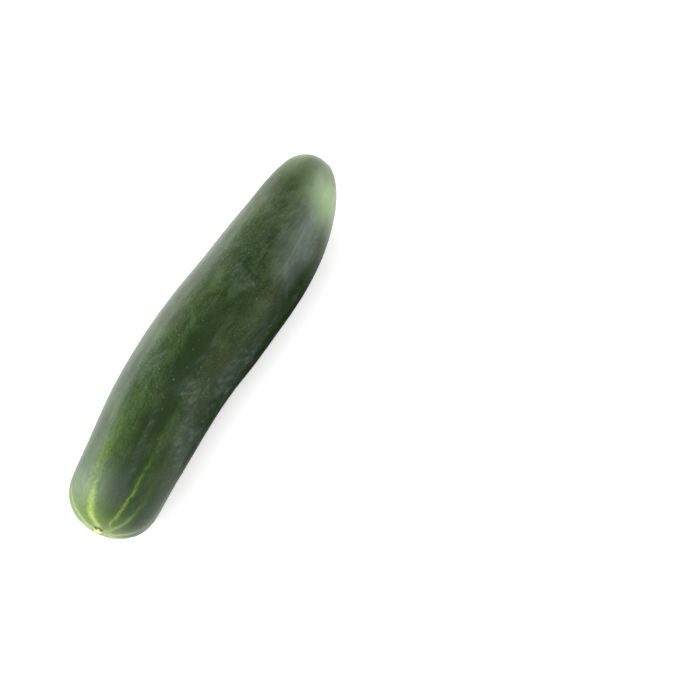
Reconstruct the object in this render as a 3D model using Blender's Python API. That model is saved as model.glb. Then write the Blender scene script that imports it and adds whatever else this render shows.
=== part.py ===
"""A slicing cucumber as picked, lying on its side: one solid fruit with its two scars.

Run it with:  blender --background --python part.py
Everything is in metres. +X runs from the blossom end to the stem end and +Z is up. The origin lies on the
surface that the cucumber rests on, under the middle of its box.
"""

import math

import bmesh
import bpy
import numpy as np

# Driving dimensions of the fruit
LENGTH = 0.2175  # along the straight line from tip to tip
WIDEST_RADIUS = 0.025  # of the thickest ring, a little past the middle towards the stem
REST_CUT = 0.0007  # how deep the belly is pressed flat where the fruit lies

# The radius along the fruit, as shares of its length: a slow swell, closed by a cap at each end
SWELL = 0.105  # loss of radius at half a length from the fullest station
SWELL_AT = 0.75  # the swell's fullest station, before the stem taper takes it back in
BLOSSOM_CAP, BLOSSOM_FULLNESS, BLOSSOM_BLUNTNESS = 0.10, 3.0, 2.2  # short and blunt
STEM_CAP, STEM_FULLNESS, STEM_BLUNTNESS = 0.70, 3.3, 2.75  # a long taper with a rounded tip

# The spine's bend in the plane of the table
S_BEND = 0.0040  # one full wave along the fruit
HOOK_BEND = -0.0011  # three half waves, which straighten the blossom end

# The section round the fruit, as shares of the local radius
LOBES, LOBE_HEIGHT = 3, 0.008  # the three carpels round off the circle
RIDGES, RIDGE_HEIGHT, RIDGE_HEIGHT_AT_ENDS = 10, 0.0035, 0.007  # flutes, plainest near the scars
RIDGE_TWIST = math.radians(10)  # the ridges wind this far from end to end
DOWN = math.radians(270)  # the angle of the belly, where a ridge lies
SWELLINGS = (  # slow unevenness: waves along, waves round, phase, height
    (2.6, 1, 0.4, 0.007),
    (4.3, 2, 2.1, 0.006),
    (6.7, 1, 4.0, 0.004),
)

# The scars, raised or sunk along the fruit's axis
STEM_BASIN_RADIUS, STEM_BASIN_DEPTH = 0.0065, 0.0009
STEM_SCAR_RADIUS, STEM_SCAR_HEIGHT = 0.0042, 0.0009
STEM_PITH_RADIUS, STEM_PITH_DEPTH = 0.0013, 0.0006
BLOSSOM_BASIN_RADIUS, BLOSSOM_BASIN_DEPTH = 0.0035, 0.0005
BLOSSOM_SCAR_RADIUS, BLOSSOM_SCAR_HEIGHT = 0.0016, 0.0006
SCAR_EDGE = 0.0007  # width of the rounded step round a scar

# Mesh resolution
RINGS = 66
SEGMENTS = 60
FINE_STATIONS = 4001  # for measuring the meridian's length
END_SLOWDOWN = 0.85  # share by which rings close up at the tips, where the scars are


def cap(share, fullness, bluntness):
    """Height of a rounded end: 0 at the tip, 1 from a full share on."""
    inward = 1 - np.clip(share, 0, 1)
    return (1 - inward**fullness) ** (1 / bluntness)


def raw_radius(along):
    """The unscaled radius at shares of the length, 0 at the blossom tip and 1 at the stem tip."""
    body = 1 - SWELL * (2 * (along - SWELL_AT)) ** 2
    blossom = cap(along / BLOSSOM_CAP, BLOSSOM_FULLNESS, BLOSSOM_BLUNTNESS)
    stem = cap((1 - along) / STEM_CAP, STEM_FULLNESS, STEM_BLUNTNESS)
    return body * blossom * stem


def fine_stations():
    """Shares of the length, crowded at both tips."""
    return (1 - np.cos(np.linspace(0, math.pi, FINE_STATIONS))) / 2


def radius(along):
    """Radius of the plain round body."""
    return WIDEST_RADIUS * raw_radius(along) / raw_radius(fine_stations()).max()


def stations_by_arc(shares):
    """Shares of the meridian's arc, slowed towards the tips, turned into shares of the length."""
    along = fine_stations()
    steps = np.hypot(LENGTH * np.diff(along), np.diff(radius(along)))
    arc = np.concatenate(([0.0], np.cumsum(steps)))
    eased = shares - END_SLOWDOWN * np.sin(2 * math.pi * shares) / (2 * math.pi)
    return np.interp(eased * arc[-1], arc, along)


def section(along, angle):
    """The radius's factor round the fruit: lobes, ridges and slow swellings."""
    towards_ends = np.abs(2 * along - 1) ** 4
    ridge = RIDGE_HEIGHT + (RIDGE_HEIGHT_AT_ENDS - RIDGE_HEIGHT) * towards_ends
    turned = angle - DOWN + RIDGE_TWIST * (along - 0.5)
    factor = 1 + LOBE_HEIGHT * np.cos(LOBES * turned) + ridge * np.cos(RIDGES * turned)
    for waves_along, waves_round, phase, height in SWELLINGS:
        lengthwise = np.cos(2 * math.pi * waves_along * along + phase)
        factor += height * lengthwise * np.cos(waves_round * angle + phase)
    return factor


def plateau(distance, edge_radius):
    """1 inside a disc, 0 outside it, with a rounded step."""
    step = np.clip((edge_radius + SCAR_EDGE / 2 - distance) / SCAR_EDGE, 0, 1)
    return step * step * (3 - 2 * step)


def basin(distance, basin_radius):
    """A smooth hollow round a tip."""
    return np.exp(-((distance / basin_radius) ** 2))


def scar_relief(along, distance):
    """How far the surface stands out along the axis: outwards is -X at the blossom and +X at the stem."""
    blossom = BLOSSOM_SCAR_HEIGHT * plateau(distance, BLOSSOM_SCAR_RADIUS)
    blossom -= BLOSSOM_BASIN_DEPTH * basin(distance, BLOSSOM_BASIN_RADIUS)
    stem = STEM_SCAR_HEIGHT * plateau(distance, STEM_SCAR_RADIUS)
    stem -= STEM_BASIN_DEPTH * basin(distance, STEM_BASIN_RADIUS)
    stem -= STEM_PITH_DEPTH * plateau(distance, STEM_PITH_RADIUS)
    return np.where(along < 0.5, -blossom, stem)


def spine(along):
    """The spine's sideways offset and its slope."""
    wave, hook = 2 * math.pi * along, 3 * math.pi * along
    offset = S_BEND * np.sin(wave) + HOOK_BEND * np.sin(hook)
    slope = (2 * math.pi * S_BEND * np.cos(wave) + 3 * math.pi * HOOK_BEND * np.cos(hook)) / LENGTH
    return offset, slope


def skin_points(along, angle):
    """Points of the surface, one row for each pair of station and angle."""
    distance = radius(along) * section(along, angle)
    outwards = scar_relief(along, distance)
    offset, slope = spine(along)
    stretch = np.hypot(1, slope)
    side = distance * np.cos(angle)
    return np.column_stack(
        (
            LENGTH * (along - 0.5) + (outwards - slope * side) / stretch,
            offset + (slope * outwards + side) / stretch,
            distance * np.sin(angle),
        )
    )


def placed(points):
    """The points with the middle of their box over the origin and the belly REST_CUT below the table."""
    low, high = points.min(axis=0), points.max(axis=0)
    middle = (low + high) / 2
    return points - (middle[0], middle[1], low[2] + REST_CUT)


def skin_material():
    """Dark green waxy skin."""
    material = bpy.data.materials.new("cucumber_skin")
    material.use_nodes = True
    shader = material.node_tree.nodes["Principled BSDF"]
    shader.inputs["Base Color"].default_value = (0.038, 0.075, 0.022, 1.0)
    shader.inputs["Roughness"].default_value = 0.38
    shader.inputs["Metallic"].default_value = 0.0
    return material


def make_fruit():
    """A UV sphere whose vertices are carried onto the fruit's surface, its poles to the two tips."""
    shaped = bmesh.new()
    bmesh.ops.create_uvsphere(shaped, u_segments=SEGMENTS, v_segments=RINGS, radius=1)
    on_sphere = np.array([vertex.co for vertex in shaped.verts])
    height = np.clip(on_sphere[:, 2], -1, 1)
    along = stations_by_arc(np.arccos(-height) / math.pi)
    angle = np.arctan2(on_sphere[:, 1], on_sphere[:, 0])
    for vertex, point in zip(shaped.verts, placed(skin_points(along, angle))):
        vertex.co = point
    # The sphere's poles were on Z and the fruit's are on X, which can turn the faces round
    bmesh.ops.recalc_face_normals(shaped, faces=shaped.faces)
    mesh = bpy.data.meshes.new("cucumber")
    shaped.to_mesh(mesh)
    shaped.free()
    mesh.shade_smooth()
    mesh.materials.append(skin_material())
    fruit = bpy.data.objects.new("cucumber", mesh)
    bpy.context.collection.objects.link(fruit)
    return fruit


def press_flat(fruit):
    """Cuts the belly level with the table, so that the fruit lies on a small flat spot."""
    table = bmesh.new()
    bmesh.ops.create_cube(table, size=1)
    depth = 4 * WIDEST_RADIUS
    bmesh.ops.scale(table, vec=(2 * LENGTH, 2 * LENGTH, depth), verts=table.verts)
    bmesh.ops.translate(table, vec=(0, 0, -depth / 2), verts=table.verts)
    mesh = bpy.data.meshes.new("table_cutter")
    table.to_mesh(mesh)
    table.free()
    cutter = bpy.data.objects.new("table_cutter", mesh)
    bpy.context.collection.objects.link(cutter)
    cutter.hide_render = True
    cutter.display_type = "WIRE"
    cut = fruit.modifiers.new("flat_belly", "BOOLEAN")
    cut.operation = "DIFFERENCE"
    cut.object = cutter


def main():
    for leftover in list(bpy.data.objects):
        bpy.data.objects.remove(leftover)
    press_flat(make_fruit())


main()
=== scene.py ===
# %% [markdown]
# # A slicing cucumber, from rule to render
#
# A cucumber is a fruit that swells round a soft core until its rind is tight. Nearly everything that
# we see on it follows a rule: a thickness that changes slowly along the fruit, a few shallow ridges
# round it, a gentle bend, and a scar at each end. This lesson writes those rules down as Geometry
# Nodes, paints the rind with procedural materials, and lights it like a shop photo.
#
# The first cell loads the fruit's plain solid. It never changes, and our finer skin has to lie on it.

# %% Load the frame
import math
from functools import partial

import bmesh
import bpy
import numpy as np
from mathutils import Matrix, Vector
from mathutils.bvhtree import BVHTree


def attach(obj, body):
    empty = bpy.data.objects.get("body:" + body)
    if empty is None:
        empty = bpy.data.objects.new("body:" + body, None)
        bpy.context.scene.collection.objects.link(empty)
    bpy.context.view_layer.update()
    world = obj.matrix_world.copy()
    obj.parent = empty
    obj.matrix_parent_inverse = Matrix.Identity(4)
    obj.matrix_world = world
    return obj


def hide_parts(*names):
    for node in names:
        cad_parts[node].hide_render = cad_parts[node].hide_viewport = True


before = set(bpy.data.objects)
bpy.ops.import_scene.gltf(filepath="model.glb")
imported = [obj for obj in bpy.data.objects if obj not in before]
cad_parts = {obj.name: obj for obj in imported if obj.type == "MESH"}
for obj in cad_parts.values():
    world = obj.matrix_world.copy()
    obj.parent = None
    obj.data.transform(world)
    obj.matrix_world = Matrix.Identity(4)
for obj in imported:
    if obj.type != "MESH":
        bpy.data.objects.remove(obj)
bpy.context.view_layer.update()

# %% [markdown]
# ## The camera
#
# The photo shows the fruit from above its blossom end. Here it lies flat on a table, so the camera
# looks down on it steeply, and the fruit crosses the picture from bottom left to top right. A long
# lens from under a metre away keeps the near end only a little larger than the far end, as the photo
# does. The camera comes first, because it says which side of the fruit needs the most care.

# %% Camera
CAMERA_AZIMUTH = math.radians(-64.5)  # 0 looks along +Y
CAMERA_ELEVATION = math.radians(62)
CAMERA_DISTANCE = 0.85
CAMERA_LENS_MM = 94
CAMERA_TARGET = Vector((0.0205, -0.0613, 0.025))  # puts the fruit left of the picture's middle
SENSOR_MM = 36


def direction(azimuth, elevation):
    """Unit vector from the fruit towards a place at that azimuth and elevation."""
    flat = math.cos(elevation)
    return Vector((math.sin(azimuth) * flat, -math.cos(azimuth) * flat, math.sin(elevation)))


def aim(item, place, target):
    """Puts a camera or a light at a place, with its -Z axis pointing at the target."""
    item.location = place
    item.rotation_euler = (target - place).to_track_quat("-Z", "Y").to_euler()
    bpy.context.collection.objects.link(item)


lens = bpy.data.cameras.new("camera")
lens.lens = CAMERA_LENS_MM
lens.sensor_width = SENSOR_MM
lens.clip_start = 0.01
camera = bpy.data.objects.new("camera", lens)
viewpoint = CAMERA_TARGET + CAMERA_DISTANCE * direction(CAMERA_AZIMUTH, CAMERA_ELEVATION)
aim(camera, viewpoint, CAMERA_TARGET)
bpy.context.scene.camera = camera
print("camera at", [round(value, 3) for value in camera.location])

# %% [markdown]
# ## One helper for every node
#
# Geometry Nodes and materials are both made of nodes and links. One small function is enough for all of
# them: it adds a node, sets its properties, and fills its inputs in order. An input can be a number,
# another node or one of that node's outputs.

# %% Adding nodes
MATH = "ShaderNodeMath"
VECTOR_MATH = "ShaderNodeVectorMath"
MAP_RANGE = "ShaderNodeMapRange"
NOISE = "ShaderNodeTexNoise"
MIX = "ShaderNodeMix"
COMBINE = "ShaderNodeCombineXYZ"
SEPARATE = "ShaderNodeSeparateXYZ"
STORE = "GeometryNodeStoreNamedAttribute"
SET_POSITION = "GeometryNodeSetPosition"
SMOOTH = {"interpolation_type": "SMOOTHSTEP"}  # lets a range begin and end gently


def add_node(tree, kind, *values, named=None, **settings):
    """Adds a node with its settings, fills its usable inputs in order and others by name."""
    node = tree.nodes.new(kind)
    for setting, value in settings.items():
        setattr(node, setting, value)
    pairs = list(zip([socket for socket in node.inputs if socket.enabled], values))
    pairs += [(node.inputs[name], value) for name, value in (named or {}).items()]
    for socket, value in pairs:
        if isinstance(value, bpy.types.Node):
            value = next(output for output in value.outputs if output.enabled)
        if isinstance(value, bpy.types.NodeSocket):
            tree.links.new(value, socket)
        elif value is not None:
            socket.default_value = value
    return node


# %% [markdown]
# A tree for Geometry Nodes also needs named inputs for its sizes. Blender stores a modifier's inputs
# under identifiers and not under their names, so `grow` looks each identifier up before the object is
# first evaluated. It then turns the result into a plain mesh and throws the carrier away, modifier and
# all.

# %% Trees with named sizes
def new_tree(name, sizes):
    """An empty tree with inputs for a geometry and for each named size, and its group input node."""
    tree = bpy.data.node_groups.new(name, "GeometryNodeTree")
    tree.interface.new_socket("Geometry", in_out="INPUT", socket_type="NodeSocketGeometry")
    for label, value in sizes.items():
        kind = "NodeSocketInt" if isinstance(value, int) else "NodeSocketFloat"
        tree.interface.new_socket(label, in_out="INPUT", socket_type=kind)
    tree.interface.new_socket("Geometry", in_out="OUTPUT", socket_type="NodeSocketGeometry")
    return tree, tree.nodes.new("NodeGroupInput").outputs


def finish_tree(tree, geometry, material):
    """Ends the tree in plain faces of one material."""
    realized = add_node(tree, "GeometryNodeRealizeInstances", geometry)
    painted = add_node(tree, "GeometryNodeSetMaterial", realized, named={"Material": material})
    add_node(tree, "NodeGroupOutput", painted)


def grow(name, tree, sizes, base=None):
    """Runs a tree on a base mesh and returns the result as an object with a plain mesh."""
    carrier = bpy.data.objects.new(name + "_carrier", base or bpy.data.meshes.new(name + "_base"))
    bpy.context.collection.objects.link(carrier)
    modifier = carrier.modifiers.new("rule", "NODES")
    modifier.node_group = tree
    for item in tree.interface.items_tree:
        if item.in_out == "INPUT" and item.name in sizes:
            modifier[item.identifier] = sizes[item.name]
    depsgraph = bpy.context.evaluated_depsgraph_get()
    result = carrier.evaluated_get(depsgraph)
    mesh = bpy.data.meshes.new_from_object(result, preserve_all_data_layers=True, depsgraph=depsgraph)
    bpy.data.objects.remove(carrier)
    piece = bpy.data.objects.new(name, mesh)
    bpy.context.collection.objects.link(piece)
    print(f"{name}: {len(mesh.vertices)} vertices, {len(mesh.polygons)} faces")
    return piece


# %% [markdown]
# ## Colours
#
# Colours are picked as the hex values that an image program shows. Blender's nodes work with
# linear light, so one function converts them. Every material here starts with an empty tree.

# %% Colours
def colour(hex_code):
    """A #rrggbb code as the linear RGBA that nodes expect."""
    channels = [int(hex_code[place : place + 2], 16) / 255 for place in (1, 3, 5)]
    linear = [c / 12.92 if c <= 0.04045 else ((c + 0.055) / 1.055) ** 2.4 for c in channels]
    return (*linear, 1.0)


def empty_material(name):
    """A material with no nodes yet, and the helper that adds nodes to it."""
    material = bpy.data.materials.new(name)
    material.use_nodes = True
    material.node_tree.nodes.clear()
    return material, partial(add_node, material.node_tree)


print("halfway grey in linear light:", round(colour("#808080")[0], 3))

# %% [markdown]
# ## The rind's material
#
# The rind is a living skin under a film of wax. Four things make it look like itself. The green is not
# one green: slow mottling and fine streaks run along the fruit. It is deepest in a band on top and on
# one flank, which is painted shade, and paler at the tip, at the shoulder and on one side near the
# stem; the last two are paler rind with painted highlight on it. Where the flower was, yellow-green
# stripes fan out from the scar, each with its own length. And the wax is whole in some places, where a
# grey bloom lies on the green, and rubbed thin and glossier in others.
#
# All patterns read the attribute `straight`: the place of each point on the fruit as if it were
# unbent, in metres from the blossom tip. So streaks follow the bend, and their sizes are real sizes. A
# pattern is stretched along the fruit by making its first coordinate smaller.

# %% Rind: colours
RIND_DEEP = "#15280b"  # the base green, also the painted shade on top and on the right flank
RIND_OLIVE = "#28351b"
RIND_LIGHT = "#3a4d2d"
RIND_FRECKLE = "#485c38"
RIND_YOUNG = "#1f3a0c"  # the freshest green, between the stripes
RIND_TIP = "#50632a"  # round the blossom scar
RIND_SHOULDER_SHEEN = "#687a59"  # paler rind at the stem end, with painted highlight on it
RIND_PALE_SHEEN = "#8fa978"  # paler rind with painted highlight on it, on the right near the stem
STRIPE = "#97a94c"
STRIPE_HALO = "#4e7022"
WAX = "#869590"
print("green of the body in linear light:", [round(part, 4) for part in colour(RIND_DEEP)[:3]])

# %% [markdown]
# Two small helpers measure the fruit. One gives the angle round it, in which 0 degrees is its left
# side as the camera sees it, 90 its top and 180 its right side. The other gives a soft round patch.

# %% Rind: places
def angle_round(node, straight):
    """The angle in radians round the unbent fruit."""
    parts = node(SEPARATE, straight)
    return node(MATH, parts.outputs["Z"], parts.outputs["Y"], operation="ARCTAN2")


def patch_round(node, straight, middle_mm, reach_mm):
    """1 at a point of the unbent fruit, fading to 0 at a distance from it."""
    offset = node(VECTOR_MATH, straight, tuple(mm / 1000 for mm in middle_mm), operation="SUBTRACT")
    distance = node(VECTOR_MATH, offset, operation="LENGTH").outputs["Value"]
    return node(MAP_RANGE, distance, 0.0, reach_mm / 1000, 1.0, 0.0, **SMOOTH)


# %% [markdown]
# The stripes follow the bundles of vessels that met in the flower. Each keeps to one angle near the
# scar and swings to another within a centimetre. A noise makes it wander, a second one frays its end,
# and a third breaks it into fine dots, which is how the real ones fade.

# %% Rind: stripes
# Each stripe: degrees round the fruit at the tip and further on, where it starts and has nearly faded
# in mm from the tip, its half width in mm, and its strength
STRIPES = (
    (22, 30, 1.5, 20, 0.9, 0.8),
    (92, 75, 3.5, 23, 1.4, 0.9),
    (80, 69, 14.0, 50, 3.2, 0.24),
    (168, 124, 3.0, 38, 0.65, 0.36),
    (152, 125, 1.5, 6, 0.9, 0.6),
    (150, 143, 3.5, 22, 0.85, 0.42),
    (188, 181, 4.0, 16, 0.9, 0.7),
    (214, 220, 2.0, 26, 1.1, 0.8),
    (246, 254, 3.0, 18, 0.8, 0.6),
    (285, 291, 1.5, 28, 1.2, 0.9),
    (326, 322, 3.5, 20, 0.8, 0.6),
    (352, 358, 2.0, 22, 1.0, 0.7),
)
STRIPE_TURN_MM = (4.5, 11)  # between these distances it swings from its first angle to its second
STRIPE_WIDENS_MM = (2, 18)  # it has its full width from here on
STRIPE_FIRST_WIDTH = 0.75  # its share of that width at the scar
STRIPE_WANDER_MM, STRIPE_WANDER = 9.09, 0.2  # how slowly it wanders, and how far in radians
STRIPE_FRAY_MM, STRIPE_FRAY_REACH_MM = 3.85, 16
STRIPE_DOT_MM = 1.11


def stripe_mask(node, straight, from_tip_mm):
    """How much of a blossom stripe there is at a point, from 0 to 1: a bright core in a soft halo."""
    angle = angle_round(node, straight)
    across = node(VECTOR_MATH, straight, (0, 1, 1), operation="MULTIPLY")
    radius = node(VECTOR_MATH, across, operation="LENGTH").outputs["Value"]
    radius_mm = node(MATH, radius, 1000.0, operation="MULTIPLY")
    wander = node(NOISE, straight, 1000 / STRIPE_WANDER_MM, 3.0, 0.65)
    wander = node(MATH, wander, 0.5, operation="SUBTRACT")
    fray = node(NOISE, straight, 1000 / STRIPE_FRAY_MM, 3.0, 0.6)
    fray = node(MATH, fray, 0.5, operation="SUBTRACT")
    frayed_mm = node(MATH, fray, STRIPE_FRAY_REACH_MM, from_tip_mm, operation="MULTIPLY_ADD")
    widening = node(MAP_RANGE, from_tip_mm, *STRIPE_WIDENS_MM, STRIPE_FIRST_WIDTH, 1.0)
    total = 0.0
    for tip_angle, far_angle, start, reach, half_width, strength in STRIPES:
        angles = math.radians(tip_angle), math.radians(far_angle)
        line = node(MAP_RANGE, from_tip_mm, *STRIPE_TURN_MM, *angles, **SMOOTH)
        line = node(MATH, wander, STRIPE_WANDER, line, operation="MULTIPLY_ADD")
        turn = node(MATH, angle, line, operation="SUBTRACT")
        turn = node(MATH, turn, math.pi, -math.pi, operation="WRAP")
        distance = node(MATH, turn, radius_mm, operation="MULTIPLY")
        distance = node(MATH, distance, operation="ABSOLUTE")
        width = node(MATH, widening, half_width, operation="MULTIPLY")
        share = node(MATH, distance, width, operation="DIVIDE")
        core = node(MAP_RANGE, share, 0.0, 1.9, 0.7, 0.0, **SMOOTH)
        halo = node(MAP_RANGE, share, 0.5, 4.5, 0.3, 0.0, **SMOOTH)
        shown = node(MATH, core, halo, operation="ADD")
        begun = node(MAP_RANGE, from_tip_mm, start, start + 1.5, 0.0, strength, **SMOOTH)
        bright = node(MAP_RANGE, frayed_mm, 0.5 * reach, 1.15 * reach, 0.75, 0.0)
        faint = node(MAP_RANGE, frayed_mm, 1.0 * reach, 2.4 * reach, 0.25, 0.0)
        faded = node(MATH, bright, faint, operation="ADD")
        shown = node(MATH, shown, begun, operation="MULTIPLY")
        shown = node(MATH, shown, faded, operation="MULTIPLY")
        total = node(MATH, total, shown, operation="MAXIMUM")
    dots = node(VECTOR_MATH, straight, (0.6, 1, 1), operation="MULTIPLY")
    dots = node(NOISE, dots, 1000 / STRIPE_DOT_MM, 3.0, 0.7)
    dots = node(MAP_RANGE, dots, 0.36, 0.6, 0.45, 1.0)
    return node(MATH, total, dots, operation="MULTIPLY")


print(len(STRIPES), "stripes, reaching up to", max(stripe[3] for stripe in STRIPES), "mm from the tip")

# %% [markdown]
# The mottling is four noises, from clouds of two centimetres to freckles of one millimetre. They differ
# only in numbers, so a table holds them and a loop makes them.

# %% Rind: mottling
# Each kind: how it is stretched, its size in mm, the noise's detail, roughness and distortion, where in
# the noise it begins and is full, and how strong it is then
MOTTLING = {
    "clouds": ((0.45, 1, 1), 24, 3.0, 0.5, 0.0, 0.4, 0.6, 1.0),
    "mottles": ((0.45, 1, 1), 7, 8.0, 0.72, 0.6, 0.45, 0.68, 0.85),
    "streaks": ((0.07, 1, 1), 1.6, 2.0, 0.5, 0.0, 0.52, 0.8, 0.35),
    "freckles": ((1, 1, 1), 1.0, 3.0, 0.6, 0.0, 0.5, 0.7, 0.45),
}


def mottling(node, straight):
    """How much there is at a point of each kind of mottling."""
    shares = {}
    for kind, (stretch, size_mm, detail, rough, distortion, begins, full, most) in MOTTLING.items():
        place = node(VECTOR_MATH, straight, stretch, operation="MULTIPLY")
        noise = node(NOISE, place, 1000 / size_mm, detail, rough, named={"Distortion": distortion})
        shares[kind] = node(MAP_RANGE, noise, begins, full, 0.0, most)
    return shares


print("mottling in mm:", {kind: numbers[1] for kind, numbers in MOTTLING.items()})

# %% [markdown]
# Painted shade and paler rind colour the large areas. The band on top and the right flank are painted
# deep green as shade. The angle is wrapped where nobody sees it, under the belly, and the flank's green
# fades before that line. The pale places are the tip, the shoulder and a patch on the right near the
# stem. The last two are paler rind with painted highlight on it, and the tip's lean to the left is
# painted highlight too.

# %% Rind: painted shade and pale places
BAND_MIDDLE = 108  # degrees round the fruit
BAND_WIDTH = (4, 21)  # how many degrees from there it is at its deepest, and where it ends
BAND_WANDER_MM, BAND_WANDER = 11.1, 0.9  # how slowly its edge wanders, and how far in radians
DEEP_BEGINS_MM = (12, 22)  # from the tip
BAND_FADES_MM = (85, 150)
FLANK_BEGINS, FLANK_FADES = (134, 152), (185, 235)  # degrees round the fruit
FLANK_FADES_MM = (150, 175)
DEEPEST = 0.9
YOUNG_FADES_MM, SHOULDER_MM, TIP_FADES_MM = (20, 90), (193, 217), (4, 28)
TIP_SHEEN_LEAN = 450  # mm further from the tip that the pale tip reaches, per metre to the left: painted highlight
# A pale patch on the right near the stem: paler rind with painted highlight on it
PALE_SHEEN_MM, PALE_SHEEN_REACH_MM = (192, -16.5, 11), 21  # from the tip, to the left and up


def painted_shade_places(node, straight, from_tip_mm):
    """How much painted shade deepens the green, from 0 to 1: a band along the top, and the right flank.
    """
    wander = node(VECTOR_MATH, straight, (0.5, 1, 1), operation="MULTIPLY")
    wander = node(NOISE, wander, 1000 / BAND_WANDER_MM, 4.0, 0.6)
    wander = node(MATH, wander, 0.5, operation="SUBTRACT")
    angle = node(MATH, wander, BAND_WANDER, angle_round(node, straight), operation="MULTIPLY_ADD")
    angle = node(MATH, angle, 1.5 * math.pi, -0.5 * math.pi, operation="WRAP")
    degrees = node(MATH, angle, operation="DEGREES")
    off_band = node(MATH, degrees, BAND_MIDDLE, operation="SUBTRACT")
    off_band = node(MATH, off_band, operation="ABSOLUTE")
    band = node(MAP_RANGE, off_band, *BAND_WIDTH, DEEPEST, 0.0, **SMOOTH)
    fading = node(MAP_RANGE, from_tip_mm, *BAND_FADES_MM, 1.0, 0.1, **SMOOTH)
    band = node(MATH, band, fading, operation="MULTIPLY")
    flank = node(MAP_RANGE, degrees, *FLANK_BEGINS, 0.0, DEEPEST)
    for distance, fades in ((degrees, FLANK_FADES), (from_tip_mm, FLANK_FADES_MM)):
        fading = node(MAP_RANGE, distance, *fades, 1.0, 0.0)
        flank = node(MATH, flank, fading, operation="MULTIPLY")
    shade_depth = node(MATH, band, flank, operation="MAXIMUM")
    begun = node(MAP_RANGE, from_tip_mm, *DEEP_BEGINS_MM, 0.0, 1.0, **SMOOTH)
    return node(MATH, shade_depth, begun, operation="MULTIPLY")


def end_places(node, straight, from_tip_mm, mottles):
    """How much there is of the shoulder and pale patch with painted highlight, the young green and the
    tip.
    """
    shoulder_sheen = node(MAP_RANGE, from_tip_mm, *SHOULDER_MM, 0.0, 0.95)
    pale_sheen = patch_round(node, straight, PALE_SHEEN_MM, PALE_SHEEN_REACH_MM)
    pale_sheen = node(MATH, pale_sheen, node(MAP_RANGE, mottles, 0.0, 0.8, 0.8, 1.0), operation="MULTIPLY")
    young = node(MAP_RANGE, from_tip_mm, *YOUNG_FADES_MM, 0.3, 0.0, **SMOOTH)
    left = node(SEPARATE, straight).outputs["Y"]
    sheen_leaning_mm = node(MATH, left, -TIP_SHEEN_LEAN, from_tip_mm, operation="MULTIPLY_ADD")
    tip = node(MAP_RANGE, sheen_leaning_mm, *TIP_FADES_MM, 1.0, 0.0, **SMOOTH)
    return shoulder_sheen, pale_sheen, young, tip


print("the deep band lies", BAND_MIDDLE - 90, "degrees to the right of the top")

# %% [markdown]
# The wax is whole in patches, mostly on the right, and hands and leaves have smeared it at an angle to
# the fruit. In a few places it is a thick bloom, combed lengthwise by the streaks below it.

# %% Rind: wax
WAX_PATCH_MM = 17
SMEAR_MM = 2.2  # width of the marks where the wax was rubbed
SMEAR_STRETCH = (0.16, 1, 0.6)
SMEAR_ANGLE = math.radians(38)  # from the fruit's axis
BLOOMS = (  # middle in mm from the tip, to the left and up, how far it reaches in mm, and its strength
    ((14, 14, 11), 18, 1.9),
    ((15, 3, 18), 17, 1.7),
    ((177, -15, 16), 14, 2.2),
    ((163, -16, 17), 15, 2.6),
    ((148, -17, 18), 13, 1.0),
)


def wax_cover(node, straight, streaks):
    """How much wax there is: 0 where it is rubbed away, 1 where it is whole, more on a bloom."""
    patches = node(VECTOR_MATH, straight, (0.45, 1, 1), operation="MULTIPLY")
    patches = node(NOISE, patches, 1000 / WAX_PATCH_MM, 6.0, 0.66, named={"Distortion": 1.2})
    wax = node(MAP_RANGE, patches, 0.46, 0.66, 0.0, 1.2, **SMOOTH)
    left = node(SEPARATE, straight).outputs["Y"]
    wax = node(MATH, wax, node(MAP_RANGE, left, 0.012, -0.012, 0.35, 1.0), operation="MULTIPLY")
    skewed = node(
        "ShaderNodeVectorRotate", straight, named={"Angle": SMEAR_ANGLE}, rotation_type="Z_AXIS"
    )
    skewed = node(VECTOR_MATH, skewed, SMEAR_STRETCH, operation="MULTIPLY")
    smear = node(NOISE, skewed, 1000 / SMEAR_MM, 3.0, 0.6, named={"Distortion": 0.4})
    smear = node(MAP_RANGE, smear, 0.48, 0.68, 0.5, 1.8)
    wax = node(MATH, wax, smear, operation="MULTIPLY")
    combed = node(MAP_RANGE, streaks, 0.0, 0.35, 0.8, 1.4)
    for middle, reach, strength in BLOOMS:
        bloom = node(MATH, patch_round(node, straight, middle, reach), combed, operation="MULTIPLY")
        wax = node(MATH, bloom, strength, wax, operation="MULTIPLY_ADD")
    return wax


print(len(BLOOMS), "blooms, the widest", 2 * max(bloom[1] for bloom in BLOOMS), "mm across")

# %% [markdown]
# The material paints these layers over each other, each as thick as its share says. Wax breaks up the
# highlights with its finest unevenness, and it is duller where it is whole. Its index of refraction is
# a little under that of pure wax, because real rind is less of a mirror at its edges.

# %% Rind: the whole material
RIND_ROUGHNESS = (0.32, 0.5)  # where the wax is rubbed, and where it is whole
RIND_IOR = 1.35
WAX_TINT = 0.1  # how much of the green whole wax hides
PEBBLE_MM, PEBBLE_HEIGHT = 1.1, 0.0002


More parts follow.
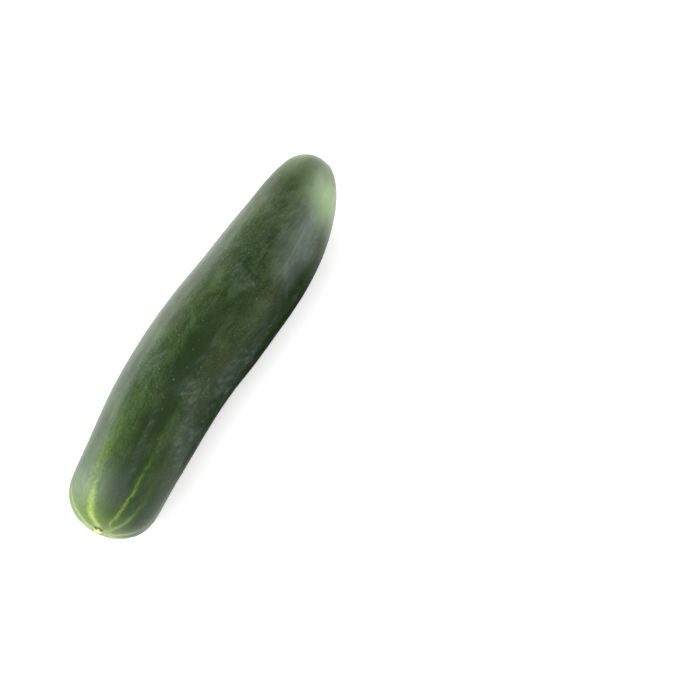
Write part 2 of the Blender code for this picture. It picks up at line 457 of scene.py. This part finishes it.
def waxy_rind():
    """Cucumber rind: a deep green skin in many layers of colour, under a patchy film of wax."""
    material, node = empty_material("waxy_cucumber_rind")
    straight = node("ShaderNodeAttribute", attribute_name="straight").outputs["Vector"]
    from_tip = node(VECTOR_MATH, straight, operation="LENGTH").outputs["Value"]
    from_tip_mm = node(MATH, from_tip, 1000.0, operation="MULTIPLY")
    kinds = mottling(node, straight)
    shoulder_sheen, pale_sheen, young, tip = end_places(node, straight, from_tip_mm, kinds["mottles"])
    stripes = stripe_mask(node, straight, from_tip_mm)
    wax = wax_cover(node, straight, kinds["streaks"])
    layers = (
        (kinds["clouds"], RIND_OLIVE),
        (kinds["mottles"], RIND_LIGHT),
        (kinds["streaks"], RIND_FRECKLE),
        (kinds["freckles"], RIND_FRECKLE),
        # painted shade on top and on the right flank, then paler rind with painted highlight at the
        # shoulder and near the stem
        (painted_shade_places(node, straight, from_tip_mm), RIND_DEEP),
        (shoulder_sheen, RIND_SHOULDER_SHEEN),
        (pale_sheen, RIND_PALE_SHEEN),
        (young, RIND_YOUNG),
        (tip, RIND_TIP),
        (node(MAP_RANGE, stripes, 0.0, 0.35, 0.0, 0.7), STRIPE_HALO),
        (node(MAP_RANGE, stripes, 0.08, 0.9, 0.0, 1.0), STRIPE),
        (node(MATH, wax, WAX_TINT, operation="MULTIPLY"), WAX),
    )
    green = colour(RIND_DEEP)
    for share, hex_code in layers:
        green = node(MIX, share, green, colour(hex_code), data_type="RGBA")
    pebble = node(NOISE, straight, 1000 / PEBBLE_MM, 3.0, 0.55)
    bump = node("ShaderNodeBump", named={"Height": pebble, "Strength": 0.6, "Distance": PEBBLE_HEIGHT})
    roughness = node(MAP_RANGE, wax, 0.0, 1.0, *RIND_ROUGHNESS)
    shader = node(
        "ShaderNodeBsdfPrincipled",
        named={"Base Color": green, "Roughness": roughness, "IOR": RIND_IOR, "Normal": bump},
    )
    node("ShaderNodeOutputMaterial", shader)
    return material


rind = waxy_rind()
print("rind material:", len(rind.node_tree.nodes), "nodes")

# %% [markdown]
# ## The skin
#
# The skin is one closed surface whose shape follows a rule, so Geometry Nodes make it. A flat grid is
# the start: one direction will run along the fruit and the other one round it. Each point's height in
# the rule is its share of the length, `along`, and from that come the radius, the ridges and the bend.
# The numbers are the ones that the solid was made from, so the fine skin lies on it everywhere.

# %% Skin: sizes
SKIN = {
    "Rings": 330,
    "Segments": 288,
    "End Slowdown": 0.5,  # closes the rings up at the tips, where the scars are
    "Length": 0.2175,
    "Widest Radius": 0.025,
    "Swell": 0.105,
    "Swell At": 0.75,
    "Blossom Cap": 0.10,
    "Blossom Fullness": 3.0,
    "Blossom Bluntness": 2.2,
    "Stem Cap": 0.70,
    "Stem Fullness": 3.3,
    "Stem Bluntness": 2.75,
    "S Bend": 0.0040,
    "Hook Bend": -0.0011,
    "Lobe Height": 0.008,
    "Ridge Height": 0.0035,
    "Ridge Height At Ends": 0.007,
    "Ridge Twist": math.radians(10),
    "Rest Cut": 0.0007,
    "Dimple Height": 0.00022,
    "Dimple Size": 0.011,
    "Merge Distance": 0.000002,  # closes the seam and the tips
    "Press Softness": 0.0002,  # rounds the edge of the flat belly
}
LOBES, RIDGES = 3, 10
DOWN = math.radians(270)  # the angle of the belly
SWELLINGS = (  # slow unevenness: waves along, waves round, phase, height as a share of the radius
    (2.6, 1, 0.4, 0.007),
    (4.3, 2, 2.1, 0.006),
    (6.7, 1, 4.0, 0.004),
)
SCAR_EDGE = 0.0007
BLOSSOM_SCAR = {"height": 0.0006, "radius": 0.0016, "basin": 0.0005, "basin_radius": 0.0035}
STEM_SCAR = {"height": 0.0009, "radius": 0.0042, "basin": 0.0009, "basin_radius": 0.0065}
STEM_PITH = {"depth": 0.0006, "radius": 0.0013}
print("skin grid:", SKIN["Rings"], "rings of", SKIN["Segments"], "points")

# %% Skin: the radius along the fruit
def rounded_end(node, share, fullness, bluntness):
    """0 at a tip and 1 a full share away from it, along a rounded curve."""
    inward = node(MATH, 1.0, share, operation="SUBTRACT", use_clamp=True)
    closed = node(MATH, inward, fullness, operation="POWER")
    open_share = node(MATH, 1.0, closed, operation="SUBTRACT", use_clamp=True)
    return node(MATH, open_share, node(MATH, 1.0, bluntness, operation="DIVIDE"), operation="POWER")


def plain_radius(node, size, grid, along, beyond):
    """The round body's radius, scaled so that its thickest ring has the stated radius."""
    off = node(MATH, along, size["Swell At"], operation="SUBTRACT")
    off = node(MATH, off, 2.0, operation="MULTIPLY")
    square = node(MATH, off, off, operation="MULTIPLY")
    lost = node(MATH, square, size["Swell"], operation="MULTIPLY")
    body = node(MATH, 1.0, lost, operation="SUBTRACT")
    for name, distance in (("Blossom", along), ("Stem", beyond)):
        share = node(MATH, distance, size[name + " Cap"], operation="DIVIDE")
        end = rounded_end(node, share, size[name + " Fullness"], size[name + " Bluntness"])
        body = node(MATH, body, end, operation="MULTIPLY")
    fullest = node("GeometryNodeAttributeStatistic", grid, None, body).outputs["Max"]
    shape = node(MATH, body, fullest, operation="DIVIDE")
    return node(MATH, shape, size["Widest Radius"], operation="MULTIPLY")


# %% Skin: ridges, lobes and slow swellings round it
def section_factor(node, size, along, angle):
    """What the radius is multiplied by at an angle round the fruit."""
    centred = node(MATH, along, 2.0, -1.0, operation="MULTIPLY_ADD")
    square = node(MATH, centred, centred, operation="MULTIPLY")
    towards_ends = node(MATH, square, square, operation="MULTIPLY")
    gain = node(MATH, size["Ridge Height At Ends"], size["Ridge Height"], operation="SUBTRACT")
    ridge = node(MATH, towards_ends, gain, size["Ridge Height"], operation="MULTIPLY_ADD")
    middle = node(MATH, along, 0.5, operation="SUBTRACT")
    turned = node(MATH, angle, DOWN, operation="SUBTRACT")
    turned = node(MATH, middle, size["Ridge Twist"], turned, operation="MULTIPLY_ADD")
    factor = 1.0
    for count, height in ((LOBES, size["Lobe Height"]), (RIDGES, ridge)):
        wave = node(MATH, turned, float(count), operation="MULTIPLY")
        wave = node(MATH, wave, operation="COSINE")
        factor = node(MATH, wave, height, factor, operation="MULTIPLY_ADD")
    for waves_along, waves_round, phase, height in SWELLINGS:
        lengthwise = node(MATH, along, math.tau * waves_along, phase, operation="MULTIPLY_ADD")
        lengthwise = node(MATH, lengthwise, operation="COSINE")
        around = node(MATH, angle, float(waves_round), phase, operation="MULTIPLY_ADD")
        around = node(MATH, around, operation="COSINE")
        wave = node(MATH, lengthwise, around, operation="MULTIPLY")
        factor = node(MATH, wave, height, factor, operation="MULTIPLY_ADD")
    return factor


# %% Skin: scars
def plateau(node, distance, radius, height, base):
    """A disc that stands up by a height from a base, with a rounded step."""
    inner, outer = radius - SCAR_EDGE / 2, radius + SCAR_EDGE / 2
    disc = node(MAP_RANGE, distance, inner, outer, 1.0, 0.0, **SMOOTH)
    return node(MATH, disc, height, base, operation="MULTIPLY_ADD")


def hollow(node, distance, radius, depth, base):
    """A smooth hollow in a base."""
    share = node(MATH, distance, radius, operation="DIVIDE")
    square = node(MATH, share, share, operation="MULTIPLY")
    fall = node(MATH, square, -1.0, operation="MULTIPLY")
    return node(MATH, node(MATH, fall, operation="EXPONENT"), -depth, base, operation="MULTIPLY_ADD")


def scar_relief(node, along, distance):
    """How far the skin is moved along +X by the scars."""
    blossom = plateau(node, distance, BLOSSOM_SCAR["radius"], BLOSSOM_SCAR["height"], 0.0)
    blossom = hollow(node, distance, BLOSSOM_SCAR["basin_radius"], BLOSSOM_SCAR["basin"], blossom)
    blossom = node(MATH, blossom, -1.0, operation="MULTIPLY")
    stem = plateau(node, distance, STEM_SCAR["radius"], STEM_SCAR["height"], 0.0)
    stem = hollow(node, distance, STEM_SCAR["basin_radius"], STEM_SCAR["basin"], stem)
    stem = plateau(node, distance, STEM_PITH["radius"], -STEM_PITH["depth"], stem)
    at_stem = node(MATH, along, 0.5, operation="GREATER_THAN")
    return node(MIX, at_stem, blossom, stem, data_type="FLOAT")


# %% [markdown]
# The bend is a property of the spine, the line through the middle of the fruit. At each station we
# know the spine's sideways offset and its slope, and the ring stands square to that slope. That is why
# `side` and `outwards` are both turned by it.

# %% Skin: the bend
def bent_place(node, size, along, outwards, side, up):
    """The point that lies side and up from the bent spine, moved outwards along it."""
    offset, slope = 0.0, 0.0
    for half_waves, height in ((2, size["S Bend"]), (3, size["Hook Bend"])):
        wave = node(MATH, along, math.pi * half_waves, operation="MULTIPLY")
        sine, cosine = (node(MATH, wave, operation=kind) for kind in ("SINE", "COSINE"))
        offset = node(MATH, sine, height, offset, operation="MULTIPLY_ADD")
        steep = node(MATH, height, math.pi * half_waves, operation="MULTIPLY")
        slope = node(MATH, cosine, steep, slope, operation="MULTIPLY_ADD")
    slope = node(MATH, slope, size["Length"], operation="DIVIDE")
    forward = node(VECTOR_MATH, node(COMBINE, 1.0, slope, 0.0), operation="NORMALIZE")
    back_slope = node(MATH, slope, -1.0, operation="MULTIPLY")
    sideways = node(COMBINE, back_slope, 1.0, 0.0)
    sideways = node(VECTOR_MATH, sideways, operation="NORMALIZE")
    middle = node(MATH, along, 0.5, operation="SUBTRACT")
    middle = node(MATH, middle, size["Length"], operation="MULTIPLY")
    place = node(COMBINE, middle, offset, up)
    for arrow, amount in ((forward, outwards), (sideways, side)):
        step = node(VECTOR_MATH, arrow, named={"Scale": amount}, operation="SCALE")
        place = node(VECTOR_MATH, place, step, operation="ADD")
    return place


# %% Skin: the whole rule
def skin_tree(material):
    """The skin: a grid rolled up along the bent spine, closed, dimpled and set down on the table."""
    tree, size = new_tree("cucumber_skin_rule", SKIN)
    node = partial(add_node, tree)
    grid = node("GeometryNodeMeshGrid", 1.0, 1.0, size["Rings"], size["Segments"])
    mapped = node(
        STORE, grid, named={"Name": "UVMap", "Value": grid.outputs["UV Map"]},
        data_type="FLOAT2", domain="CORNER",
    )
    flat = node(SEPARATE, node("GeometryNodeInputPosition"))
    share = node(MATH, flat.outputs["X"], 0.5, operation="ADD")
    angle = node(MATH, flat.outputs["Y"], math.tau, operation="MULTIPLY")
    wave = node(MATH, node(MATH, share, math.tau, operation="MULTIPLY"), operation="SINE")
    slow = node(MATH, size["End Slowdown"], math.tau, operation="DIVIDE")
    eased = node(MATH, share, node(MATH, wave, slow, operation="MULTIPLY"), operation="SUBTRACT")
    quarter = node(MATH, eased, math.pi / 2, operation="MULTIPLY")
    sine = node(MATH, quarter, operation="SINE")
    cosine = node(MATH, quarter, operation="COSINE")
    along = node(MATH, sine, sine, operation="MULTIPLY")
    beyond = node(MATH, cosine, cosine, operation="MULTIPLY")

    radius = plain_radius(node, size, grid, along, beyond)
    distance = node(MATH, radius, section_factor(node, size, along, angle), operation="MULTIPLY")
    side = node(MATH, distance, node(MATH, angle, operation="COSINE"), operation="MULTIPLY")
    up = node(MATH, distance, node(MATH, angle, operation="SINE"), operation="MULTIPLY")
    outwards = scar_relief(node, along, distance)
    from_tip = node(MATH, along, size["Length"], operation="MULTIPLY")
    unbent = node(COMBINE, from_tip, side, up)
    noted = node(STORE, mapped, named={"Name": "straight", "Value": unbent}, data_type="FLOAT_VECTOR")
    place = bent_place(node, size, along, outwards, side, up)
    rolled = node(SET_POSITION, noted, None, place)
    closed = node("GeometryNodeMergeByDistance", rolled, named={"Distance": size["Merge Distance"]})

    straight = node("GeometryNodeInputNamedAttribute", "straight", data_type="FLOAT_VECTOR")
    stretched = node(VECTOR_MATH, straight, (0.4, 1, 1), operation="MULTIPLY")
    dimples = node(NOISE, stretched, node(MATH, 1.0, size["Dimple Size"], operation="DIVIDE"), 3.0, 0.5)
    height = node(MATH, dimples, 0.5, operation="SUBTRACT")
    height = node(MATH, height, size["Dimple Height"], operation="MULTIPLY")
    height = node(MATH, height, 2.0, operation="MULTIPLY")
    normal = node("GeometryNodeInputNormal")
    push = node(VECTOR_MATH, normal, named={"Scale": height}, operation="SCALE")
    dimpled = node(SET_POSITION, closed, None, None, push)

    box = node("GeometryNodeBoundBox", dimpled)
    low = node(SEPARATE, box.outputs["Min"])
    middle = node(VECTOR_MATH, box.outputs["Min"], box.outputs["Max"], operation="ADD")
    middle = node(VECTOR_MATH, middle, (-0.5, -0.5, 0), operation="MULTIPLY")
    middle = node(SEPARATE, middle)
    sink = node(MATH, low.outputs["Z"], size["Rest Cut"], operation="ADD")
    sink = node(MATH, sink, -1.0, operation="MULTIPLY")
    shift = node(COMBINE, middle.outputs["X"], middle.outputs["Y"], sink)
    centred = node(SET_POSITION, dimpled, None, None, shift)

    now = node(SEPARATE, node("GeometryNodeInputPosition"))
    rest = node(MATH, now.outputs["Z"], 0.0, size["Press Softness"], operation="SMOOTH_MAX")
    pressed = node(COMBINE, now.outputs["X"], now.outputs["Y"], rest)
    lying = node(SET_POSITION, centred, None, pressed)
    smooth = node("GeometryNodeSetShadeSmooth", lying)
    finish_tree(tree, smooth, material)
    return tree


skin = grow("cucumber_skin", skin_tree(rind), SKIN)

# %% [markdown]
# Two checks before going on. A closed mesh has no edge with a single face, and its signed volume is
# positive only if its faces point outwards. The last number is how far the fine skin strays from the
# solid.

# %% Skin: check
def closed_and_outward(piece):
    """Turns the faces outwards, and returns the number of open edges and the volume in cm3."""
    shape = bmesh.new()
    shape.from_mesh(piece.data)
    if shape.calc_volume(signed=True) < 0:
        bmesh.ops.reverse_faces(shape, faces=shape.faces)
        shape.to_mesh(piece.data)
    open_edges = sum(1 for edge in shape.edges if not edge.is_manifold)
    volume = shape.calc_volume(signed=True) * 1e6
    shape.free()
    return open_edges, volume


CHECK_EVERY = 7  # vertices, which is often enough on a smooth skin


def farthest(piece, node_name):
    """The largest distance in mm from a piece's vertices to a solid's surface."""
    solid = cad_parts[node_name]
    corners = [vertex.co for vertex in solid.data.vertices]
    tree = BVHTree.FromPolygons(corners, [face.vertices for face in solid.data.polygons])
    checked = list(piece.data.vertices)[::CHECK_EVERY]
    return 1000 * max(tree.find_nearest(vertex.co)[3] for vertex in checked)


open_edges, volume = closed_and_outward(skin)
strays = farthest(skin, "cucumber")
print(f"skin: {open_edges} open edges, {volume:.1f} cm3, at most {strays:.2f} mm off the solid")
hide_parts("cucumber")
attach(skin, "root")

# %% [markdown]
# ## The two scars
#
# A cucumber has been fastened at both ends: to its flower, and to the vine. Both left dry cork behind.
# The flower's scar is a tiny star, cream in the middle and tan at its points. The stem's scar is a
# wider disc with a sunken pith and a ring of sap vessels. One tree makes both: a ball pressed flat,
# with arms round its edge and a pit in its middle. Half of it is sunk in the skin, so it is closed and
# casts a real edge.

# %% Scars: material
# the olive of the painted shade in the cork's cracks
PAINTED_CRACK_SHADE = "#77803c"
CORK_GRAIN_MM, CRACK_SHADE_SPECK_MM, CORK_CRACK_MM = 0.588, 0.385, 0.278


def dry_cork(name, middle_colour, edge_colour, centre, reach):
    """Dry scar tissue: one colour in its middle and one at its edge, painted crack shade, cracked and
    quite matt.
    """
    material, node = empty_material(name)
    place = node("ShaderNodeTexCoord").outputs["Object"]
    offset = node(VECTOR_MATH, place, tuple(centre), operation="SUBTRACT")
    distance = node(VECTOR_MATH, offset, operation="LENGTH").outputs["Value"]
    grain = node(NOISE, place, 1000 / CORK_GRAIN_MM, 3.0, 0.7)
    spread = node(MATH, grain, reach, distance, operation="MULTIPLY_ADD")
    share = node(MAP_RANGE, spread, 0.6 * reach, 1.5 * reach, 0.0, 1.0)
    tan = node(MIX, share, colour(middle_colour), colour(edge_colour), data_type="RGBA")
    # dark olive specks: painted shade in the cork's cracks
    crack_shade = node(NOISE, place, 1000 / CRACK_SHADE_SPECK_MM, 2.0, 0.6)
    crack_shade = node(MAP_RANGE, crack_shade, 0.52, 0.62, 0.0, 0.7)
    tan = node(MIX, crack_shade, tan, colour(PAINTED_CRACK_SHADE), data_type="RGBA")
    cracks = node(NOISE, place, 1000 / CORK_CRACK_MM, 4.0, 0.7)
    bump = node("ShaderNodeBump", named={"Height": cracks, "Strength": 0.7, "Distance": 0.0002})
    shader = node(
        "ShaderNodeBsdfPrincipled", named={"Base Color": tan, "Roughness": 0.8, "Normal": bump}
    )
    node("ShaderNodeOutputMaterial", shader)
    return material


# %% Scars: shape
SCAR_SIZES = {  # of the blossom's star and of the stem's disc
    "Scar Radius": (0.0018, 0.0043),
    "Thickness": (0.00045, 0.0006),
    "Arms": (5, 10),
    "Arm Share": (0.42, 0.04),
    "Pit Share": (-0.35, 0.7),  # negative: a small nub stands up in the middle
    "Crumble": (0.00022, 0.00035),
    "Vessels": (5, 10),
    "Vessel Ring": (0.0008, 0.0028),
    "Vessel Radius": (0.00022, 0.00045),
}
BLOSSOM_STAR, STEM_DISC = ({name: pair[end] for name, pair in SCAR_SIZES.items()} for end in (0, 1))
CRUMBS_PER_METRE = 1500.0  # one is two thirds of a millimetre


def scar_tree(name, sizes, material):
    """A flat ball with arms and a pit, and a ring of small vessels on its face, looking along +Z."""
    tree, size = new_tree(name, sizes)
    node = partial(add_node, tree)
    ball = node("GeometryNodeMeshUVSphere", 72, 24, 1.0)
    here = node(SEPARATE, node("GeometryNodeInputPosition"))
    angle = node(MATH, here.outputs["Y"], here.outputs["X"], operation="ARCTAN2")
    wave = node(MATH, node(MATH, angle, size["Arms"], operation="MULTIPLY"), operation="COSINE")
    star = node(MATH, wave, size["Arm Share"], 1.0, operation="MULTIPLY_ADD")
    reach = node(MATH, star, size["Scar Radius"], operation="MULTIPLY")
    flat = node(COMBINE, here.outputs["X"], here.outputs["Y"], 0.0)
    spread = node(VECTOR_MATH, flat, named={"Scale": reach}, operation="SCALE")
    from_middle = node(VECTOR_MATH, flat, operation="LENGTH").outputs["Value"]
    pit = node(MAP_RANGE, from_middle, 0.1, 0.45, 1.0, 0.0, **SMOOTH)
    pit = node(MATH, pit, size["Pit Share"], operation="MULTIPLY")
    high = node(MATH, here.outputs["Z"], pit, operation="SUBTRACT")
    above = node(MATH, here.outputs["Z"], 0.0, operation="GREATER_THAN")
    height = node(MIX, above, here.outputs["Z"], high, data_type="FLOAT")
    height = node(MATH, height, size["Thickness"], operation="MULTIPLY")
    place = node(VECTOR_MATH, spread, node(COMBINE, 0.0, 0.0, height), operation="ADD")
    pressed = node(SET_POSITION, ball, None, place)
    point = node("GeometryNodeInputPosition")
    rough = node(NOISE, point, CRUMBS_PER_METRE, 3.0, 0.6).outputs["Color"]
    rough = node(VECTOR_MATH, rough, (0.5, 0.5, 0.5), operation="SUBTRACT")
    rough = node(VECTOR_MATH, rough, named={"Scale": size["Crumble"]}, operation="SCALE")
    crumbled = node(SET_POSITION, pressed, None, None, rough)

    ring = node("GeometryNodeMeshCircle", size["Vessels"], size["Vessel Ring"])
    lift = node(MATH, size["Thickness"], 0.8, operation="MULTIPLY")
    lift = node(COMBINE, 0.0, 0.0, lift)
    raised = node(SET_POSITION, ring, None, None, lift)
    bead = node("GeometryNodeMeshUVSphere", 10, 6, size["Vessel Radius"])
    jitter = node("FunctionNodeRandomValue", 0.7, 1.2, named={"Seed": 3}, data_type="FLOAT")
    beads = node("GeometryNodeInstanceOnPoints", raised, named={"Instance": bead, "Scale": jitter})
    both = node("GeometryNodeJoinGeometry")
    for part in (crumbled, beads):
        tree.links.new(part.outputs[0], both.inputs[0])
    finish_tree(tree, node("GeometryNodeSetShadeSmooth", both), material)
    return tree


# %% Scars: where they go
def skin_tips(piece):
    """Where the skin's two poles are and which way they face, the blossom tip first."""
    unbent = np.empty(3 * len(piece.data.vertices))
    piece.data.attributes["straight"].data.foreach_get("vector", unbent)
    unbent = unbent.reshape(-1, 3)
    tips = []
    for end in (0.0, SKIN["Length"]):
        distance = np.linalg.norm(unbent - (end, 0, 0), axis=1)
        pole = piece.data.vertices[int(distance.argmin())]
        rim = [piece.data.vertices[int(index)].normal for index in np.nonzero(distance < 0.009)[0]]
        tips.append((pole.co.copy(), sum(rim, Vector()).normalized()))
    return tips


def set_on(piece, place, facing, lift):
    """Turns a piece made along +Z to face outwards at a place, in its mesh."""
    turn = facing.to_track_quat("Z", "Y").to_matrix().to_4x4()
    piece.data.transform(Matrix.Translation(place + lift * facing) @ turn)


(blossom_tip, blossom_facing), (stem_tip, stem_facing) = skin_tips(skin)
cork_star = dry_cork("blossom_scar_cork", "#fbf7cc", "#c3bd78", blossom_tip, 0.0016)
cork_disc = dry_cork("stem_scar_cork", "#a08a5a", "#cdbd8c", stem_tip, 0.003)
star = grow("blossom_scar", scar_tree("blossom_star_rule", BLOSSOM_STAR, cork_star), BLOSSOM_STAR)
disc = grow("stem_scar", scar_tree("stem_disc_rule", STEM_DISC, cork_disc), STEM_DISC)
set_on(star, blossom_tip, blossom_facing, 0.0)
set_on(disc, stem_tip, stem_facing, 0.0006)  # the tip itself is in the pith, below the plateau
for scar in (star, disc):
    print(scar.name, "open edges and volume in cm3:", closed_and_outward(scar))
    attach(scar, "root")

# %% [markdown]
# ## Spine cushions
#
# A young cucumber is prickly. The spines fall off, and each one leaves a low pale cushion less than a
# millimetre across. There are hundreds, so Geometry Nodes scatter them: points no closer than a few
# millimetres, a flat bead on each, all from one seed.

# %% Spine cushions
CUSHIONS = {
    "Least Gap": 0.0052,
    "Most Per Square Metre": 30000.0,
    "Cushion Radius": 0.00034,
    "Cushion Height": 0.00013,
    "Bare Tip": 0.024,
    "Bare Shoulder": 0.175,
    "Bare Below": 0.0012,
    "Seed": 7,
}
CUSHION_TINT_MM = 6.25


def cushion_material():
    """Thin pale skin over a spine's cut base."""
    material, node = empty_material("spine_cushion_skin")
    place = node("ShaderNodeTexCoord").outputs["Object"]
    tint = node(NOISE, place, 1000 / CUSHION_TINT_MM, 2.0, 0.5)
    tint = node(MAP_RANGE, tint, 0.35, 0.65, 0.0, 1.0)
    green = node(MIX, tint, colour("#2d3d20"), colour("#485b36"), data_type="RGBA")
    shader = node("ShaderNodeBsdfPrincipled", named={"Base Color": green, "Roughness": 0.5})
    node("ShaderNodeOutputMaterial", shader)
    return material


def cushion_tree(material):
    """Flat beads scattered over a skin, away from its belly and its scars."""
    tree, size = new_tree("spine_cushion_rule", CUSHIONS)
    node = partial(add_node, tree)
    source = size["Geometry"]
    straight = node("GeometryNodeInputNamedAttribute", "straight", data_type="FLOAT_VECTOR")
    from_tip = node(VECTOR_MATH, straight, operation="LENGTH").outputs["Value"]
    from_blossom = node(MATH, from_tip, size["Bare Tip"], operation="GREATER_THAN")
    from_stem = node(MATH, from_tip, size["Bare Shoulder"], operation="LESS_THAN")
    height = node(SEPARATE, node("GeometryNodeInputPosition")).outputs["Z"]
    off_belly = node(MATH, height, size["Bare Below"], operation="GREATER_THAN")
    allowed = node(MATH, from_blossom, from_stem, operation="MULTIPLY")
    allowed = node(MATH, allowed, off_belly, operation="MULTIPLY")
    points = node(
        "GeometryNodeDistributePointsOnFaces", source, allowed,
        named={
            "Distance Min": size["Least Gap"],
            "Density Max": size["Most Per Square Metre"],
            "Seed": size["Seed"],
        },
        distribute_method="POISSON",
    )
    bead = node("GeometryNodeMeshUVSphere", 9, 5, 1.0)
    flat = node(COMBINE, size["Cushion Radius"], size["Cushion Radius"], size["Cushion Height"])
    grow_by = node(
        "FunctionNodeRandomValue", 0.55, 1.25, named={"Seed": size["Seed"]}, data_type="FLOAT"
    )
    stretch = node(VECTOR_MATH, flat, named={"Scale": grow_by}, operation="SCALE")
    beads = node(
        "GeometryNodeInstanceOnPoints", points,
        named={"Instance": bead, "Rotation": points.outputs["Rotation"], "Scale": stretch},
    )
    finish_tree(tree, node("GeometryNodeSetShadeSmooth", beads), material)
    return tree


cushions = grow("spine_cushions", cushion_tree(cushion_material()), CUSHIONS, base=skin.data)
print("cushions:", closed_and_outward(cushions))
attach(cushions, "root")

# %% [markdown]
# ## Studio
#
# The photo is a shop cut-out on white, lit by large soft sources. A light table carries a faint
# contact shadow. The key light is a big softbox behind the camera. Waxy skin mirrors whatever stands
# round it, so the walls carry three soft glows. They lift the left of the near end, follow the left
# flank, and give the pale sheen at the right of the far end. The ceiling is dim, so the top of the
# fruit stays deep green.

# %% Floor
LIGHT_TABLE_GLOW = 0.25  # how much of a fully white picture the table gives off by itself
FLOOR_HALF = 6.0
FLOOR_GAP = 0.0002  # keeps the floor just below the belly


def sheet(name, corners, height, material):
    """A flat four-cornered sheet of one material at a height."""
    mesh = bpy.data.meshes.new(name)
    mesh.from_pydata([(x, y, height) for x, y in corners], [], [(0, 1, 2, 3)])
    mesh.materials.append(material)
    piece = bpy.data.objects.new(name, mesh)
    bpy.context.collection.objects.link(piece)
    return piece


def light_table():
    """Matt white acrylic, lit from below so that shadows stay faint."""
    material = bpy.data.materials.new("light_table")
    material.use_nodes = True
    shader = material.node_tree.nodes["Principled BSDF"]
    shader.inputs["Base Color"].default_value = colour("#fafafa")
    shader.inputs["Roughness"].default_value = 0.9
    shader.inputs["Emission Color"].default_value = (1.0, 1.0, 1.0, 1.0)
    shader.inputs["Emission Strength"].default_value = LIGHT_TABLE_GLOW
    return material


corners = [(x * FLOOR_HALF, y * FLOOR_HALF) for x, y in ((-1, -1), (1, -1), (1, 1), (-1, 1))]
floor = sheet("floor", corners, -FLOOR_GAP, light_table())
print("floor:", 2 * FLOOR_HALF, "m wide")

# %% [markdown]
# In the photo the fruit's flanks are dark in places up to their edge: the right one almost from end to
# end, and the left one near the stem. A white table mirrored in the wax would turn them grey.
# Photographers lay black cloth there. Each of these nets thins out towards both ends. Only mirrored
# rays see it, so the table stays white in the picture and no shadow falls on it.

# %% Dark nets
# Each net: the y of its near and far edge, how far it slants along the fruit per metre away from it,
# where its middle is, how far from there it is whole and has ended, and how dense it is
DARK_NETS = {
    "dark_net_right": (-0.02, -0.4, 0.53, -0.012, 0.04, 0.10, 1.0),
    "dark_net_left": (0.02, 0.4, 1.1, 0.065, 0.02, 0.05, 0.5),
}
NET_HALF_LENGTH = 0.6
NET_HEIGHT = 0.0004
NET_COLOUR = "#3c4238"


def dark_net(name, near, far, shift, middle, whole, ended, density):
    """A dark net on the table beside the fruit, which only the fruit's shine shows."""
    material, node = empty_material(name)
    place = node("ShaderNodeTexCoord").outputs["Object"]
    slant = (1, -math.copysign(shift, near), 0)
    off = node(VECTOR_MATH, place, slant, operation="DOT_PRODUCT").outputs["Value"]
    off = node(MATH, node(MATH, off, middle, operation="SUBTRACT"), operation="ABSOLUTE")
    cover = node(MAP_RANGE, off, whole, ended, density, 0.0, **SMOOTH)
    threads = node("ShaderNodeBsdfDiffuse", colour(NET_COLOUR))
    net = node("ShaderNodeMixShader", cover, node("ShaderNodeBsdfTransparent"), threads)
    node("ShaderNodeOutputMaterial", net)
    corners = [(x * NET_HALF_LENGTH, y) for x, y in ((-1, far), (1, far), (1, near), (-1, near))]
    cloth = sheet(name, corners, NET_HEIGHT, material)
    cloth.visible_camera = cloth.visible_diffuse = cloth.visible_shadow = False
    return cloth


for name, sizes in DARK_NETS.items():
    dark_net(name, *sizes)
print("dark nets:", len(DARK_NETS))

# %% Key light
KEY_AZIMUTH, KEY_ELEVATION = math.radians(-78), math.radians(60)
KEY_DISTANCE, KEY_SIZE, KEY_WATTS = 1.8, 2.5, 44


def key_softbox():
    """A large square area light behind the camera that looks at the fruit."""
    lamp = bpy.data.lights.new("key_softbox", "AREA")
    lamp.shape = "SQUARE"
    lamp.size = KEY_SIZE
    lamp.energy = KEY_WATTS
    place = KEY_DISTANCE * direction(KEY_AZIMUTH, KEY_ELEVATION)
    aim(bpy.data.objects.new("key_softbox", lamp), place, Vector((0, 0, 0.02)))
    return lamp


print("key light:", key_softbox().energy, "W")

# %% World
WORLD_HORIZON = 0.35
WORLD_OVERHEAD = 0.08
WORLD_DIMS = (0.2, 0.8)  # between these heights, where straight up is 1
GLOWS = (  # azimuth and elevation of the middle and radius in degrees, and strength
    (205, 20, 40, 6.9),
    (162, 4, 30, 4.2),
    (60, 13, 36, 4.0),
)


def studio_world():
    """White walls round the table, a dimmer ceiling, and soft glows low down on the walls."""
    world = bpy.data.worlds.new("studio")
    world.use_nodes = True
    tree = world.node_tree
    tree.nodes.clear()
    node = partial(add_node, tree)
    looking = node("ShaderNodeTexCoord").outputs["Generated"]
    height = node(SEPARATE, looking).outputs["Z"]
    strength = node(MAP_RANGE, height, *WORLD_DIMS, WORLD_HORIZON, WORLD_OVERHEAD, **SMOOTH)
    for azimuth, elevation, radius, brightness in GLOWS:
        middle = direction(math.radians(azimuth), math.radians(elevation))
        closeness = node(VECTOR_MATH, looking, tuple(middle), operation="DOT_PRODUCT").outputs["Value"]
        edge = math.cos(math.radians(radius))
        glow = node(MAP_RANGE, closeness, edge, 1.0, 0.0, brightness, interpolation_type="SMOOTHERSTEP")
        strength = node(MATH, strength, glow, operation="ADD")
    light = node("ShaderNodeBackground", (1.0, 1.0, 1.0, 1.0), strength)
    node("ShaderNodeOutputWorld", light)
    return world


bpy.context.scene.world = studio_world()
bpy.context.scene.view_settings.view_transform = "Standard"
print("world:", len(GLOWS), "glows")
